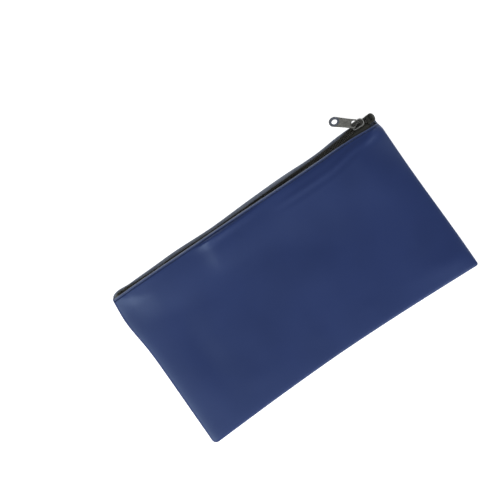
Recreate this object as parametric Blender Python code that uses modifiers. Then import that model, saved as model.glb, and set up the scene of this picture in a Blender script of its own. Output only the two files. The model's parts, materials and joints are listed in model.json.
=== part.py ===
"""Cash deposit bag: two navy vinyl panels sewn on three sides, with a coil zipper across the mouth.

The bag lies flat on its back panel. X runs along the zipper (towards the closed end),
+Y towards the zipper edge and +Z up, with the underside of the back panel at Z = 0.
Distances are written in millimetres through MM.
"""
import math

import bpy
from mathutils import Matrix, Vector

MM = 0.001

# Bag
WIDTH = 279.4  # 11 in
HEIGHT = 153.0  # bottom seam to front hem at the corners, nominal 6 in
BOW = 3.4  # the filled-out middle draws the bottom edge up
VINYL = 0.6  # sheet thickness
HALF = WIDTH / 2
BOTTOM = -HEIGHT / 2
HEM = HEIGHT / 2
SEAM_Z = 2.0  # mid-thickness of the front panel where it meets the seams
BELLY_Z = 6.0  # mid-thickness of the front panel over the pocket
HEM_Z = 9.8  # mid-thickness of the front panel at the mouth
FOLD = 0.425  # radius of a turned hem
HEM_DEPTH = 9.0
BACK_HEM = HEM + 7.0  # the back hem lies further out than the front one
THREAD = 0.5

# Zipper: U runs across the chain and W is the chain's normal
CHAIN_Y = HEM + 5.8
CHAIN_Z = 6.6
TILT = math.radians(-32)
TAPE = 0.4
TAPE_W = -1.15
TAPE_END = 130.0
COIL_END = 127.8
COIL_U = (0.8, 2.8)
COIL_W = (-0.65, 1.15)
COIL_WALL = 0.35

# Slider and pull
SLIDER_X = 121.5  # closed
SLIDER_L = 12.0
SHOULDER = 4.6
TAIL = 4.3
PLATE_TOP = 2.4
PLATE_BOTTOM = -2.5
CHANNEL = (3.7, -1.6, 1.45)  # half width, floor, roof
SLIT_TOP = -0.65
CROWN_X = -1.0
CROWN_L, CROWN_W, CROWN_TOP, CROWN_WALL = 5.6, 2.0, 5.6, 0.6
AXLE_W = 3.9  # the pull turns about its own crossbar, under the crown
CROSSBAR = 1.0
TAB_L, TAB_W, TAB_T = 25.0, 9.8, 1.1
TAB_HEADING = math.radians(41)  # in plan, from -X towards +Y
TAB_DROP = math.radians(20)


def clear_scene():
    for obj in list(bpy.data.objects):
        bpy.data.objects.remove(obj, do_unlink=True)


clear_scene()
PARTS = bpy.data.collections.new("cash_deposit_bag")
CUTTERS = bpy.data.collections.new("cutters")
bpy.context.scene.collection.children.link(PARTS)
bpy.context.scene.collection.children.link(CUTTERS)


def material(name, color, roughness, metallic=0.0):
    mat = bpy.data.materials.new(name)
    mat.use_nodes = True
    bsdf = mat.node_tree.nodes["Principled BSDF"]
    bsdf.inputs["Base Color"].default_value = (*color, 1.0)
    bsdf.inputs["Roughness"].default_value = roughness
    bsdf.inputs["Metallic"].default_value = metallic
    return mat


NAVY = material("navy_vinyl", (0.027, 0.046, 0.130), 0.5)
BLACK_TAPE = material("black_tape", (0.012, 0.012, 0.011), 0.85)
BLACK_NYLON = material("black_nylon", (0.020, 0.020, 0.018), 0.4)
NAVY_THREAD = material("navy_thread", (0.020, 0.030, 0.080), 0.7)
GUNMETAL = material("gunmetal", (0.10, 0.10, 0.095), 0.35, 1.0)
SPRING_STEEL = material("spring_steel", (0.45, 0.45, 0.44), 0.3, 1.0)


def settle(obj, name, mat, parent=None, collection=PARTS):
    """Names an object, gives it its material and puts it in the right collection."""
    obj.name = obj.data.name = name
    if mat:
        obj.data.materials.append(mat)
    for old in list(obj.users_collection):
        old.objects.unlink(obj)
    collection.objects.link(obj)
    obj.parent = parent
    return obj


def empty(name, location, rotation=(0, 0, 0), parent=None):
    obj = bpy.data.objects.new(name, None)
    obj.location = Vector(location) * MM
    obj.rotation_euler = rotation
    obj.parent = parent
    PARTS.objects.link(obj)
    return obj


def box(name, size, location, mat, parent=None, bevel=0.0, segments=2, collection=PARTS):
    bpy.ops.mesh.primitive_cube_add(size=1)
    obj = settle(bpy.context.object, name, mat, parent, collection)
    obj.data.transform(Matrix.Diagonal((*[s * MM for s in size], 1)))
    obj.location = Vector(location) * MM
    if bevel:
        mod = obj.modifiers.new("Bevel", "BEVEL")
        mod.width = bevel * MM
        mod.segments = segments
    return obj


def rod(name, points, radius, mat, parent=None, resolution=2):
    """A thread, cord or bar: a poly curve with a round bevel."""
    curve = bpy.data.curves.new(name, "CURVE")
    curve.dimensions = "3D"
    curve.bevel_depth = radius * MM
    curve.bevel_resolution = resolution
    curve.use_fill_caps = True
    spline = curve.splines.new("POLY")
    spline.points.add(len(points) - 1)
    for point, co in zip(spline.points, points):
        point.co = (*(Vector(co) * MM), 1)
    return settle(bpy.data.objects.new(name, curve), name, mat, parent)


def plate(name, outlines, thickness, mat, parent=None, collection=PARTS):
    """A flat outline, with any holes, extruded either side of its own XY plane."""
    curve = bpy.data.curves.new(name, "CURVE")
    curve.dimensions = "2D"
    curve.fill_mode = "BOTH"
    curve.extrude = thickness * MM / 2
    for outline in outlines:
        spline = curve.splines.new("POLY")
        spline.points.add(len(outline) - 1)
        spline.use_cyclic_u = True
        for point, (x, y) in zip(spline.points, outline):
            point.co = (x * MM, y * MM, 0, 1)
    return settle(bpy.data.objects.new(name, curve), name, mat, parent, collection)


def as_mesh(obj):
    """Makes a curve object a mesh with welded caps, for a Boolean or a Bevel."""
    name, parent = obj.name, obj.parent
    basis, collection = obj.matrix_basis.copy(), obj.users_collection[0]
    bpy.context.view_layer.update()
    evaluated = obj.evaluated_get(bpy.context.evaluated_depsgraph_get())
    mesh = bpy.data.meshes.new_from_object(evaluated)
    mat = obj.data.materials[0] if obj.data.materials else None
    bpy.data.objects.remove(obj, do_unlink=True)
    mesh.materials.clear()
    new = settle(bpy.data.objects.new(name, mesh), name, mat, parent, collection)
    new.matrix_basis = basis
    weld = new.modifiers.new("Weld", "WELD")
    weld.merge_threshold = 0.00001
    return new


def sheet(name, columns, rows, position, thickness, mat, parent=None):
    """A grid bent by position(column, row) and thickened evenly on both sides."""
    nx, ny = len(columns) - 1, len(rows) - 1
    bpy.ops.mesh.primitive_grid_add(x_subdivisions=nx, y_subdivisions=ny, size=1)
    obj = settle(bpy.context.object, name, mat, parent)
    for vertex in obj.data.vertices:
        column = columns[round((vertex.co.x + 0.5) * nx)]
        row = rows[round((vertex.co.y + 0.5) * ny)]
        vertex.co = Vector(position(column, row)) * MM
    mod = obj.modifiers.new("Solidify", "SOLIDIFY")
    mod.thickness = thickness * MM
    mod.offset = 0
    mod.use_even_offset = True
    return obj


def boolean(obj, cutter, operation):
    mod = obj.modifiers.new(cutter.name, "BOOLEAN")
    mod.operation = operation
    mod.object = cutter
    cutter.hide_render = True
    cutter.display_type = "WIRE"


def smooth(t):
    t = min(max(t, 0.0), 1.0)
    return t * t * (3 - 2 * t)


def rise(t):
    return math.sin(math.pi / 2 * min(max(t, 0.0), 1.0))


def spread(start, end, count, ease=0.0):
    """Evenly spaced values, drawn towards both ends as ease goes to 1."""
    values = []
    for i in range(count):
        t = i / (count - 1)
        t += ease * (0.5 - 0.5 * math.cos(math.pi * t) - t)
        values.append(start + (end - start) * t)
    return values


def curve_through(points, steps):
    """A Catmull-Rom curve through the points, with that many steps in each span."""
    padded = [points[0], *points, points[-1]]
    found = [points[0]]
    for p0, p1, p2, p3 in zip(padded, padded[1:], padded[2:], padded[3:]):
        for i in range(1, steps + 1):
            t = i / steps
            found.append(tuple(
                0.5 * (2 * b + (c - a) * t + (2 * a - 5 * b + 4 * c - d) * t * t
                       + (3 * b - a - 3 * c + d) * t ** 3)
                for a, b, c, d in zip(p0, p1, p2, p3)
            ))
    return found


# Panels ---------------------------------------------------------------------------------------

def front_height(x, y):
    """Mid-thickness height of the front panel: low at the seams, full over the pocket."""
    crest = BELLY_Z + (HEM_Z - BELLY_Z) * smooth((y - 52) / (HEM - 52))
    seam = SEAM_Z + 1.3 * smooth((y - 48) / (HEM - 48))
    side = 32 - 24.8 * smooth((y - 38) / 30)
    return seam + (crest - seam) * rise((y - BOTTOM) / 40) * rise((HALF - abs(x)) / side)


def front_frame(x, y, step=0.05):
    """Point, normal and the tangent towards the mouth, on the front panel."""
    point = Vector((x, y, front_height(x, y)))
    slope_x = (front_height(x + step, y) - front_height(x - step, y)) / (2 * step)
    slope_y = (front_height(x, y) - front_height(x, y - step)) / step
    normal = Vector((-slope_x, -slope_y, 1)).normalized()
    return point, normal, Vector((0, 1, slope_y)).normalized()


def front_position(x, row):
    """Row is a distance along the panel: past the hem it turns under by HEM_DEPTH."""
    edge = HEM - FOLD
    x = min(max(x, -HALF + 0.1), HALF - 0.1)
    if row <= edge:
        return front_frame(x, row)[0]
    turn = (row - edge) / FOLD
    if turn < math.pi:
        point, normal, tangent = front_frame(x, edge)
        return point + FOLD * ((math.cos(turn) - 1) * normal + math.sin(turn) * tangent)
    point, normal, tangent = front_frame(x, edge - (row - edge - math.pi * FOLD))
    return point - 2 * FOLD * normal


def back_position(x, row):
    """The back panel lies flat, and its hem turns up and inwards."""
    edge = BACK_HEM - FOLD
    if row <= edge:
        return x, row, VINYL / 2
    turn = min((row - edge) / FOLD, math.pi)
    past = max(row - edge - math.pi * FOLD, 0)
    y = edge + FOLD * math.sin(turn) - past
    return x, y, VINYL / 2 + FOLD * (1 - math.cos(turn))


def fitted(point):
    """Moves a point of the plain rectangle to the bag's own outline.

    The sides lean a little, the left one bulges below the mouth, and the bottom bows in.
    """
    x, y, z = point
    down = HEM - y
    if x < 0:
        edge = 139.2 + 1.6 * (1 - down / HEIGHT) + 3.0 * math.exp(-((down - 22) / 24) ** 2)
    else:
        edge = 137.3 + 2.5 * smooth((down - 25) / 125)
    bow = BOW * math.cos(math.pi / 2 * x / HALF) * smooth(down / HEIGHT)
    return Vector((x * edge / HALF, y + bow, z))


def panel_rows(edge, count):
    turn = [edge + math.pi * FOLD * i / 4 for i in range(5)]
    end = turn[-1] + HEM_DEPTH
    return spread(BOTTOM, edge, count, 0.75)[:-1] + turn + spread(turn[-1], end, 4)[1:]


sheet("back_panel", spread(-HALF, HALF, 13), panel_rows(BACK_HEM - FOLD, 13),
      lambda x, row: fitted(back_position(x, row)), VINYL, NAVY)

front_side = empty("front_side", (0, BOTTOM, SEAM_Z - VINYL / 2))
to_front_side = Vector(front_side.location) / MM


def in_front_side(point):
    return Vector(point) - to_front_side


sheet("front_panel", spread(-HALF, HALF, 25, 0.85), panel_rows(HEM - FOLD, 15),
      lambda x, row: in_front_side(fitted(front_position(x, row))), VINYL, NAVY, front_side)

# Threads of the three turned seams, between the panels
thread_z = VINYL + 0.3 + THREAD / 2
for side, name in ((-1, "side_thread_left"), (1, "side_thread_right")):
    x = side * (HALF - 5.5)
    rod(name, [(x, BOTTOM + 6, thread_z), (x, HEM - HEM_DEPTH - 4, thread_z)], THREAD / 2,
        NAVY_THREAD)
bottom_line = [fitted((x, BOTTOM + 3.5, thread_z)) for x in spread(6 - HALF, HALF - 6, 13)]
rod("bottom_thread", bottom_line, THREAD / 2, NAVY_THREAD)

# Rows of stitching that hold the hems to the tapes
point, normal, tangent = front_frame(0, HEM - 2.4)
on_hem = in_front_side(point + normal * (VINYL / 2 + 0.3 + THREAD / 2))
rod("hem_thread_front", [(x, on_hem.y, on_hem.z) for x in (-128, 128)], THREAD / 2,
    NAVY_THREAD, front_side)
back_tape_z = VINYL / 2 + 2 * FOLD + VINYL / 2 + 0.3 + TAPE / 2
back_thread_z = back_tape_z + TAPE / 2 + 0.3 + THREAD / 2
rod("hem_thread_back", [(x, BACK_HEM - 7, back_thread_z) for x in (-128, 128)], THREAD / 2,
    NAVY_THREAD)

# Zipper chain -----------------------------------------------------------------------------------

chain = empty("chain", (0, CHAIN_Y, CHAIN_Z), (TILT, 0, 0))


def from_chain(u, w):
    """World Y and Z, in millimetres, of a point of the chain's cross-section."""
    return (CHAIN_Y + u * math.cos(TILT) - w * math.sin(TILT),
            CHAIN_Z + u * math.sin(TILT) + w * math.cos(TILT))


def to_chain(y, z):
    dy, dz = y - CHAIN_Y, z - CHAIN_Z
    return (dy * math.cos(TILT) + dz * math.sin(TILT),
            -dy * math.sin(TILT) + dz * math.cos(TILT))


def tape(name, flat_run, bend, lip, parent):
    """A woven tape from under its hem, round its bend and in to the coil."""
    path = flat_run + curve_through([flat_run[-1], *bend, lip], 3)[1:]
    path.append(from_chain(math.copysign(COIL_U[0] + 0.2, to_chain(*lip)[0]), TAPE_W))
    offset = Vector(parent.location) / MM if parent else Vector()
    sheet(name, [-TAPE_END, TAPE_END], list(range(len(path))),
          lambda x, i: Vector((x, *path[i])) - offset, TAPE, BLACK_TAPE, parent)


under_hem = []
for y in (HEM - 9.5, HEM - 6.5, HEM - 4.0, HEM - 1.6):
    point, normal, tangent = front_frame(0, y)
    under = point - normal * (2 * FOLD + VINYL / 2 + 0.3 + TAPE / 2)
    under_hem.append((under.y, under.z))
tape("zipper_tape_front", under_hem, [(HEM - 0.5, 8.22), (HEM + 0.25, 8.44)],
     from_chain(-5.2, TAPE_W), front_side)
tape("zipper_tape_back", [(y, back_tape_z) for y in (BACK_HEM - 9.5, BACK_HEM - 0.8)],
     [(BACK_HEM + 0.9, 1.52), (BACK_HEM + 2.1, 1.45), (BACK_HEM + 2.95, 2.15)],
     from_chain(5.2, TAPE_W), None)


def along_chain(name, outlines, start, end, mat, parent):
    """Extrudes an outline of the chain's cross-section, (u, w) points, from start to end in X."""
    obj = plate(name, outlines, end - start, mat, parent)
    middle = Vector(((start + end) / 2, CHAIN_Y, CHAIN_Z))
    # The outline's X, Y and extrusion go to the chain's U and W and to world X.
    turn = Matrix(((0, 0, 1), (math.cos(TILT), -math.sin(TILT), 0),
                   (math.sin(TILT), math.cos(TILT), 0)))
    obj.rotation_euler = turn.to_euler()
    obj.location = (middle - (Vector(parent.location) / MM if parent else Vector())) * MM
    return as_mesh(obj)


def oblong(u0, u1, w0, w1, corner):
    """A rectangle with cut corners, as (u, w) points."""
    return [(u0 + corner, w0), (u1 - corner, w0), (u1, w0 + corner), (u1, w1 - corner),
            (u1 - corner, w1), (u0 + corner, w1), (u0, w1 - corner), (u0, w0 + corner)]


for side, label, parent in ((-1, "front", front_side), (1, "back", None)):
    u0, u1 = sorted(side * u for u in COIL_U)
    outer = oblong(u0, u1, *COIL_W, 0.5)
    bore = oblong(u0 + COIL_WALL, u1 - COIL_WALL, COIL_W[0] + COIL_WALL, COIL_W[1] - COIL_WALL,
                  0.3)
    along_chain(f"coil_{label}", [outer, bore], -COIL_END, COIL_END, BLACK_NYLON, parent)
    offset = Vector(parent.location) / MM if parent else Vector()
    for piece, (u, w), radius in (("core_cord", ((u0 + u1) / 2, sum(COIL_W) / 2), 0.25),
                                  ("coil_thread", (side * 3.25, -0.5), 0.15)):
        y, z = from_chain(u, w)
        ends = [Vector((x, y, z)) - offset for x in (1 - COIL_END, COIL_END - 1)]
        rod(f"{piece}_{label}", ends, radius, BLACK_TAPE, parent, 1)
    # A clip folded round the inner edge of the tape stops the slider at the closed end.
    clip = [(0.4, -2.0), (2.6, -2.0), (2.6, -1.6), (0.75, -1.6), (0.75, -0.7), (2.6, -0.7),
            (2.6, 1.0), (2.2, 1.3), (0.8, 1.3), (0.4, 1.0)]
    along_chain(f"top_stop_{label}", [[(side * u, w) for u, w in clip]], COIL_END + 0.3,
                TAPE_END - 0.4, GUNMETAL, parent)

web, reach = 0.5, 3.2
staple = [(-reach, -2.1), (reach, -2.1), (reach, -1.65), (web, -1.65), (web, 1.45), (reach, 1.45),
          (reach, 1.8), (reach - 0.5, 2.0), (0.5 - reach, 2.0), (-reach, 1.8), (-reach, 1.45),
          (-web, 1.45), (-web, -1.65), (-reach, -1.65)]
along_chain("bottom_stop", [staple], -124, -121, GUNMETAL, None)

# Folded fabric over the ends of the chain, each held by a bar tack
for side, name in ((-1, "left"), (1, "right")):
    box(f"end_tab_{name}", (7.4, 6.6, 2.9), (side * (TAPE_END + 4.1), 0, -0.45), BLACK_TAPE,
        chain, 1.2, 3)
    box(f"bar_tack_{name}", (1.6, 5.0, 0.6), (side * (TAPE_END + 4.1), 0, 1.6), NAVY_THREAD,
        chain, 0.2, 1)

# Slider -----------------------------------------------------------------------------------------

slider = empty("slider", (SLIDER_X, CHAIN_Y, CHAIN_Z), (TILT, 0, 0))
half_l = SLIDER_L / 2
plan = []
for i in range(9):
    angle = math.radians(90 * i / 8)
    plan.append((half_l - 3.0 + 3.0 * math.sin(angle), SHOULDER - 3.2 * (1 - math.cos(angle))))
plan = [(-half_l, TAIL - 1.3), (-half_l + 0.8, TAIL - 0.2), (-half_l + 2.0, TAIL), *plan]
plan += [(x, -y) for x, y in reversed(plan)]
body = plate("slider_body", [plan], PLATE_TOP - PLATE_BOTTOM, GUNMETAL, slider)
body.location.z = (PLATE_TOP + PLATE_BOTTOM) / 2 * MM
body = as_mesh(body)
rounding = body.modifiers.new("Bevel", "BEVEL")
rounding.width = 0.4 * MM
rounding.segments = 2
half_w, floor, roof = CHANNEL
channel = box("channel", (SLIDER_L + 4, 2 * half_w, roof - floor), (0, 0, (roof + floor) / 2),
              None, slider, collection=CUTTERS)
slit = box("slit", (SLIDER_L + 4, 14, SLIT_TOP - floor), (0, 0, (SLIT_TOP + floor) / 2), None,
           slider, collection=CUTTERS)
wedge_outline = [(1.4, 0), (2.4, 0.45), (4.6, 0.5), (5.4, 0.3), (5.4, -0.3), (4.6, -0.5),
                 (2.4, -0.45)]
wedge = plate("wedge", [wedge_outline], roof - floor + 1.0, None, slider, CUTTERS)
wedge.location.z = (roof + floor) / 2 * MM
wedge = as_mesh(wedge)
for cutter, operation in ((channel, "DIFFERENCE"), (slit, "DIFFERENCE"), (wedge, "UNION")):
    boolean(body, cutter, operation)

# The crown is an arch over the pull's crossbar; the pawl spring lies under it.
def arch(half_span, top):
    """A squared arch, as points from its +X springing to its -X one."""
    angles = [math.pi * i / 12 for i in range(13)]
    return [(math.copysign(half_span * abs(math.cos(a)) ** 0.6, math.cos(a)),
             top - 1.4 + 1.4 * abs(math.sin(a)) ** 0.6) for a in angles]


foot = PLATE_TOP + 0.3
outer, tunnel = arch(CROWN_L / 2, CROWN_TOP), arch(CROWN_L / 2 - CROWN_WALL, CROWN_TOP - CROWN_WALL)
outline = [(CROWN_L / 2, foot), *outer, (-CROWN_L / 2, foot), (CROWN_WALL - CROWN_L / 2, foot),
           *reversed(tunnel), (CROWN_L / 2 - CROWN_WALL, foot)]
crown = plate("slider_crown", [outline], CROWN_W, GUNMETAL, slider)
crown.rotation_euler = (math.pi / 2, 0, 0)
crown.location.x = CROWN_X * MM
crown = as_mesh(crown)
rounding = crown.modifiers.new("Bevel", "BEVEL")
rounding.width = 0.15 * MM
rounding.segments = 1

leaf = [(-1.8, foot), (1.8, foot), (1.8, foot + 0.25), (0.6, foot + 0.35), (-0.6, foot + 0.35),
        (-1.8, foot + 0.25)]
spring = plate("pawl_spring", [leaf], 1.2, SPRING_STEEL, slider)
spring.rotation_euler = (math.pi / 2, 0, 0)
spring.location.x = CROWN_X * MM

# Pull tab ---------------------------------------------------------------------------------------

flat = math.cos(TAB_DROP)
heading = Vector((-math.cos(TAB_HEADING) * flat, math.sin(TAB_HEADING) * flat,
                  -math.sin(TAB_DROP)))
across = Vector((0, math.cos(TILT), math.sin(TILT)))
normal = Vector((0, -math.sin(TILT), math.cos(TILT)))
skew = math.atan2(-heading.x, heading.dot(across))
lift = math.asin(heading.dot(normal))
pull = empty("pull", (CROWN_X - 0.3, 0, AXLE_W), (lift, 0, skew), slider)


def arc(cx, cy, radius, start, end, count):
    angles = [math.radians(a) for a in spread(start, end, count)]
    return [(cx + radius * math.cos(a), cy + radius * math.sin(a)) for a in angles]


half = TAB_W / 2
near, far = 3.0, TAB_L - half - 0.3
bar = CROSSBAR / 2
outline = [*arc(half - 2.0, 1.4 - bar, 1.4, -90, 0, 4), (half - 0.5, 9.0),
           *arc(0, TAB_L - half, half, 0, 180, 17), (0.5 - half, 9.0),
           *arc(2.0 - half, 1.4 - bar, 1.4, 180, 270, 4)]
ring = arc(0, far, 2.6, 0, 345, 24)
slot = [*arc(near - 1.0, 1.0 + bar, 1.0, -90, 0, 4), *arc(near - 1.6, 4.0, 1.6, 0, 90, 5),
        *arc(1.6 - near, 4.0, 1.6, 90, 180, 5), *arc(1.0 - near, 1.0 + bar, 1.0, 180, 270, 4)]
tab = plate("pull_tab", [outline, ring, slot], TAB_T, GUNMETAL, pull)
tab = as_mesh(tab)
rounding = tab.modifiers.new("Bevel", "BEVEL")
rounding.width = 0.25 * MM
rounding.segments = 1

for obj in PARTS.objects:
    if obj.type == "MESH":
        obj.data.shade_smooth()
        obj.data.set_sharp_from_angle(angle=math.radians(35))
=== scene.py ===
"""Looks of the cash deposit bag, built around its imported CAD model.

Lengths are written in millimetres and multiplied by MM. X runs along the zipper towards its
closed end, +Y towards the zipper edge and +Z up.
"""
import json
import math

import bpy
import numpy as np
from mathutils import Matrix, Vector, noise


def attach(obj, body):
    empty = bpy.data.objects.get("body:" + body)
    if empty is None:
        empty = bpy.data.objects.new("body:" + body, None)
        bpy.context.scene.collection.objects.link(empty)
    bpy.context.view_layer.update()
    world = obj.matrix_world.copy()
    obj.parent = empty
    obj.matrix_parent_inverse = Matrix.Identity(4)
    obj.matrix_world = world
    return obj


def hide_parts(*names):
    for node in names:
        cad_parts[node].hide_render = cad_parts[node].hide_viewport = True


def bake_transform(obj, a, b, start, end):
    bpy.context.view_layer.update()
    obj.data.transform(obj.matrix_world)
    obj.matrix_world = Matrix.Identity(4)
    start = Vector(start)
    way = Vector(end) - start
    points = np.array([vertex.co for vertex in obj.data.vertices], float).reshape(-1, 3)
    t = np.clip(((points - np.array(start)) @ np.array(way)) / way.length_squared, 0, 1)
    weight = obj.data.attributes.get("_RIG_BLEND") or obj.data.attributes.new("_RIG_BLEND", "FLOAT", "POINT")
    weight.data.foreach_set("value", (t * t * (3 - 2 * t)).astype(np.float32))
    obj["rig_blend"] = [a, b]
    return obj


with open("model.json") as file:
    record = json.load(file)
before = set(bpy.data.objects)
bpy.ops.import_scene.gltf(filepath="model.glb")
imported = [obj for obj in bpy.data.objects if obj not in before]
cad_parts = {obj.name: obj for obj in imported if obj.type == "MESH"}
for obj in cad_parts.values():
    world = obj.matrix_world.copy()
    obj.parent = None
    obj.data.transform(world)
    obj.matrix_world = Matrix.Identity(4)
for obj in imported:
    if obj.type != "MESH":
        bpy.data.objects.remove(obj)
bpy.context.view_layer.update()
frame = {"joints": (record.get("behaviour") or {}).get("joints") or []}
MM = 0.001

# Sizes shared with the CAD model
WIDTH, HEIGHT = 279.4, 153.0
HALF = WIDTH / 2
HEM = HEIGHT / 2
BOTTOM = -HEM
BOW = 3.4  # how far the bottom edge bows in
VINYL = 0.6  # thickness
TAPE = 0.4  # thickness
FOLD = 0.425  # radius of the turned hems, at the middle of the vinyl
EDGE_R = 1.9  # radius of the turned seams
TILT = 32  # lean of the slider, in degrees
SLIDER_X = 121.5
CHAIN_Y, CHAIN_Z = HEM + 5.8, 6.6  # middle of the slider
HEADING, DROOP = math.radians(41), math.radians(20)  # of the pull tab, in plan and downwards
PULL = next(j for j in frame["joints"] if j["name"] == "pull_swing")

# The hems: how far they run back inside, and how far from the front one its stitches are
HEM_DEPTH = 9.0
STITCH_IN = 2.0

# Where the front side stays shut (start) and where it is fully lifted (end), in X
SHUT = {"left": -128.0, "right": 133.0}
LIFTED = {"left": -22.0, "right": 30.0}


def smooth(t):
    """Eases from 0 to 1 while t goes from 0 to 1."""
    t = np.clip(t, 0.0, 1.0)
    return t * t * (3 - 2 * t)


def rise(t):
    """Climbs from 0 to 1 while t goes from 0 to 1, steeply at first."""
    return np.sin(math.pi / 2 * np.clip(t, 0.0, 1.0))


def bump(x, y, cx, cy, rx, ry):
    """A soft mound of height 1 around (cx, cy)."""
    return np.exp(-(((x - cx) / rx) ** 2) - ((y - cy) / ry) ** 2)


def eased(x, stations, values):
    """A smooth curve through values at the stations, flat beyond them."""
    stations, values = np.asarray(stations, float), np.asarray(values, float)
    slopes = np.gradient(values, stations)
    slopes[[0, -1]] = 0
    x = np.clip(x, stations[0], stations[-1])
    i = np.clip(np.searchsorted(stations, x) - 1, 0, len(stations) - 2)
    h = stations[i + 1] - stations[i]
    t = (x - stations[i]) / h
    return ((2 * t**3 - 3 * t**2 + 1) * values[i] + (t**3 - 2 * t**2 + t) * h * slopes[i]
            + (3 * t**2 - 2 * t**3) * values[i + 1] + (t**3 - t**2) * h * slopes[i + 1])


# The mouth at stations along X: how far OUT in Y the front hem, the back hem and the chain lie from
# the straight front hem, how far UP the front hem and the chain are, and the chain's TILT in degrees
STATIONS = [-139.7, -137.5, -134, -129, -126.5, -124, -112, -95, -75, -35, 5, 40, 80, 104, 116, 130,
            137, 139.7]
FRONT_OUT = [0.4, 0.5, 0.6, 0.6, 0.6, 0.7, 0.8, 0.8, 0.7, 0.5, 0.3, -0.2, -0.4, -0.3, -0.7, -1.7,
             -2.0, -2.0]
FRONT_UP = [5.3, 5.4, 5.6, 6.0, 6.3, 6.7, 7.7, 8.2, 8.3, 8.2, 8.2, 8.6, 9.2, 9.7, 9.8, 9.8, 9.8, 9.8]
BACK_OUT = [1.0, 3.1, 4.5, 4.7, 4.5, 4.2, 4.3, 4.6, 5.1, 4.2, 5.6, 6.3, 5.9, 7.7, 7.9, 7.0, 6.0, 3.0]
CHAIN_OUT = [1.1, 1.1, 1.0, 0.7, 0.3, -0.2, -0.6, -0.9, -0.6, -1.1, -0.4, 0.3, 1.2, 3.1, 5.5, 5.8,
             5.8, 5.8]
CHAIN_UP = [3.3, 3.3, 3.3, 3.3, 3.4, 3.5, 4.2, 4.6, 4.7, 4.5, 4.2, 4.5, 5.2, 6.2, 6.6, 6.6, 6.6, 6.6]
CHAIN_TILT = [18, 18, 18, 18, 18, 18, 18, 19, 20, 24, 28, 30, 32, 32, 32, 29, 20, 20]


def chain_point(x, u, w):
    """A point of the chain's cross-section at x: u across the chain, w along its normal."""
    tilt = np.radians(eased(x, STATIONS, CHAIN_TILT))
    y = HEM + eased(x, STATIONS, CHAIN_OUT) + u * np.cos(tilt) + w * np.sin(tilt)
    z = eased(x, STATIONS, CHAIN_UP) - u * np.sin(tilt) + w * np.cos(tilt)
    return np.stack(np.broadcast_arrays(x, y, z), -1)


# Meshes -----------------------------------------------------------------------------------------

def add(name, data):
    """A new object in the scene."""
    obj = bpy.data.objects.new(name, data)
    bpy.context.scene.collection.objects.link(obj)
    return obj


def make(name, verts, faces, mats):
    """A smooth-shaded mesh object from points in millimetres."""
    mesh = bpy.data.meshes.new(name)
    mesh.from_pydata((np.asarray(verts, float) * MM).tolist(), [], faces)
    mesh.validate()
    for mat in mats:
        mesh.materials.append(mat)
    mesh.shade_smooth()
    return add(name, mesh)


def add_mark(mesh, key, values):
    """Stores a number at each point of the mesh, for a material to read."""
    layer = mesh.attributes.new(key, "FLOAT", "POINT")
    layer.data.foreach_set("value", np.asarray(values, np.float32).ravel())


def grid_faces(rows, columns, wrap=False):
    """Quads over a grid of points, closed round its columns if wrap is set."""
    faces = []
    for r in range(rows - 1):
        for c in range(columns if wrap else columns - 1):
            d = (c + 1) % columns
            faces.append((r * columns + c, r * columns + d, (r + 1) * columns + d,
                          (r + 1) * columns + c))
    return faces


def evaluated_mesh(obj):
    bpy.context.view_layer.update()
    evaluated = obj.evaluated_get(bpy.context.evaluated_depsgraph_get())
    return bpy.data.meshes.new_from_object(evaluated)


def bake(obj):
    """Applies the modifiers."""
    mesh = evaluated_mesh(obj)
    obj.modifiers.clear()
    obj.data = mesh
    mesh.name = obj.name
    return obj


def sheet(name, points, thickness, mats, inner=0, marks=None, face=1):
    """A thick sheet over a (rows, columns, 3) array of points, facing up (1) or down (-1).

    Inner is the place in mats of its other side's material, and marks are numbers at the points.
    """
    rows, columns = points.shape[:2]
    faces = [f[::face] for f in grid_faces(rows, columns)]
    obj = make(name, points.reshape(-1, 3), faces, mats)
    for key, values in (marks or {}).items():
        add_mark(obj.data, key, values)
    mod = obj.modifiers.new("Solidify", "SOLIDIFY")
    mod.thickness = thickness * MM
    mod.offset = 0
    mod.material_offset = inner
    return bake(obj)


def capped(rows, sides):
    """Faces of a closed tube of rings of points."""
    last = (rows - 1) * sides
    return grid_faces(rows, sides, True) + [tuple(reversed(range(sides))),
                                            tuple(last + i for i in range(sides))]


def tube(path, radius, sides=6):
    """Vertices and faces of a round closed tube along an (n, 3) path."""
    turn = np.linspace(0, 2 * math.pi, sides, endpoint=False)
    along = np.gradient(path, axis=0)
    along /= np.linalg.norm(along, axis=1)[:, None]
    side = np.cross(along, (0.0, 0.0, 1.0))
    side /= np.maximum(np.linalg.norm(side, axis=1), 1e-6)[:, None]
    up = np.cross(side, along)
    size = np.broadcast_to(radius, len(path))[:, None, None]
    ring = (np.cos(turn)[None, :, None] * side[:, None]
            + np.sin(turn)[None, :, None] * up[:, None])
    verts = (path[:, None] + size * ring).reshape(-1, 3)
    return verts, [tuple(reversed(f)) for f in capped(len(path), sides)]


def stitches(points, along, length=2.5, radius=0.26, count=7):
    """Short raised threads, each centred on a point and fat in its middle."""
    t = np.linspace(-1, 1, count)
    size = radius * np.sqrt(np.clip(1.02 - t**2, 0.03, 1)) ** 0.7
    arch = np.zeros((count, 3))
    arch[:, 2] = 0.10 * (1 - t**2)
    verts, faces = [], []
    for point, direction in zip(points, along):
        v, f = tube(point + t[:, None] * direction * length / 2 + arch, size)
        faces += [tuple(i + len(verts) for i in face) for face in f]
        verts.extend(v)
    return verts, faces


def fix(obj, slot, *nodes):
    """A piece that never moves."""
    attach(obj, "root")
    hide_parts(*nodes)


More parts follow.
